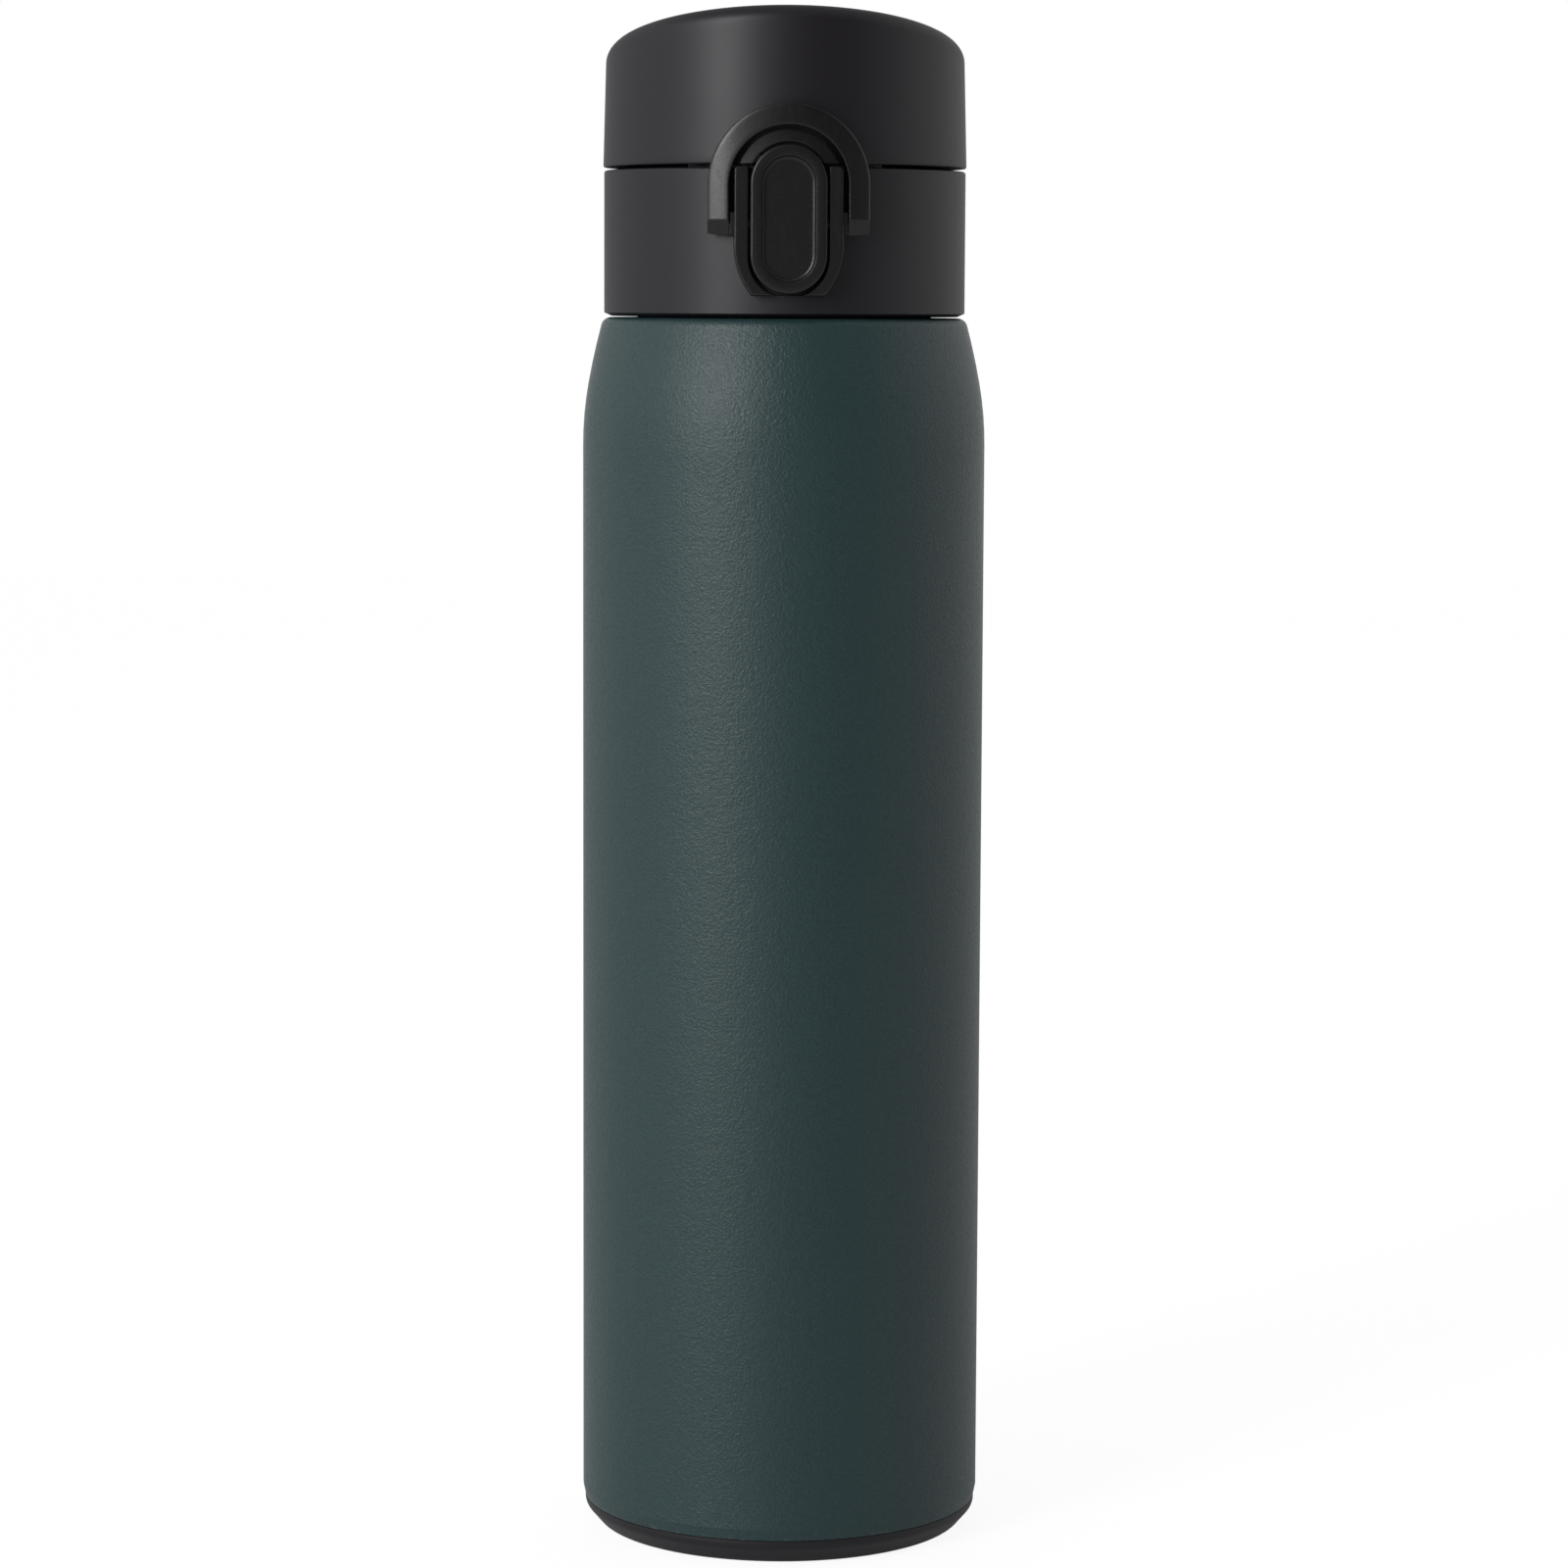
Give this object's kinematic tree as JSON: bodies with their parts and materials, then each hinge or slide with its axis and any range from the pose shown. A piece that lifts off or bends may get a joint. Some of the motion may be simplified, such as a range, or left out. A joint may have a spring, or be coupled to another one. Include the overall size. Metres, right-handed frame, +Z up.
{
  "type": "vacuum flask",
  "caption": "Slim double-walled vacuum flask with a screw-on cap unit, drinking spout, spring-latched hinged lid, push button and swinging lock ring.",
  "frame": {"origin": "centre of the foot on the standing surface", "axes": "+Z up along the flask's axis, -Y towards the latch and button, +Y towards the lid hinge, +X to the right seen from the front"},
  "size_m": [0.065, 0.065, 0.2461],
  "materials": {
    "green_powder_coat": "fine-textured dark green powder coat",
    "bare_steel": "brushed stainless",
    "getter_metal": "sintered tablet",
    "glass_bead": "fused sealing bead",
    "black_plastic": "finely textured satin",
    "grey_plastic": "smooth satin",
    "black_gloss_plastic": "semi-gloss",
    "silicone": "translucent grey silicone"
  },
  "bodies": {
    "bottle": {"outer_shell": "green_powder_coat", "inner_liner": "bare_steel", "outer_bottom": "bare_steel", "getter": "getter_metal", "vacuum_seal": "glass_bead", "base_boot": "black_plastic"},
    "gasket_ring": {"mouthpiece_gasket": "silicone"},
    "cap": {"collar_shell": "black_plastic", "thread_sleeve": "grey_plastic", "mouthpiece": "grey_plastic", "latch_housing": "black_gloss_plastic", "latch_pin": "bare_steel", "hinge_pin": "bare_steel", "button_spring": "bare_steel", "lid_spring": "bare_steel"},
    "button": {"button": "black_gloss_plastic"},
    "lock_ring": {"lock_ring": "black_gloss_plastic"},
    "lid": {"lid_shell": "black_plastic", "lid_liner": "grey_plastic", "lid_seal": "silicone", "lid_catch": "black_gloss_plastic"}
  },
  "joints": [
    {"name": "cap_lift", "type": "slide", "parent": "bottle", "child": "gasket_ring", "axis": [0, 0, 1], "range_m": [0, 0.01601]},
    {"name": "cap_turn", "type": "hinge", "parent": "gasket_ring", "child": "cap", "pos_m": [0, 0, 0.2], "axis": [0, 0, 1], "range_deg": [0, 720]},
    {"name": "lid_hinge", "type": "hinge", "parent": "cap", "child": "lid", "pos_m": [0, 0.0289, 0.2225], "axis": [-1, 0, 0], "range_deg": [0, 115]},
    {"name": "lock_ring_swing", "type": "hinge", "parent": "cap", "child": "lock_ring", "pos_m": [0, -0.0293, 0.2124], "axis": [1, 0, 0], "range_deg": [0, 115]},
    {"name": "button_press", "type": "hinge", "parent": "cap", "child": "button", "pos_m": [0, -0.0293, 0.2124], "axis": [1, 0, 0], "range_deg": [0, 6], "stiffness_Nm_per_rad": 0.2, "springref_deg": -5.73, "deforming": ["button_spring"]}
  ],
  "couplings": [
    {"joint": "cap_lift", "follows": "cap_turn", "m_per_rad": 0.0012732}
  ]
}
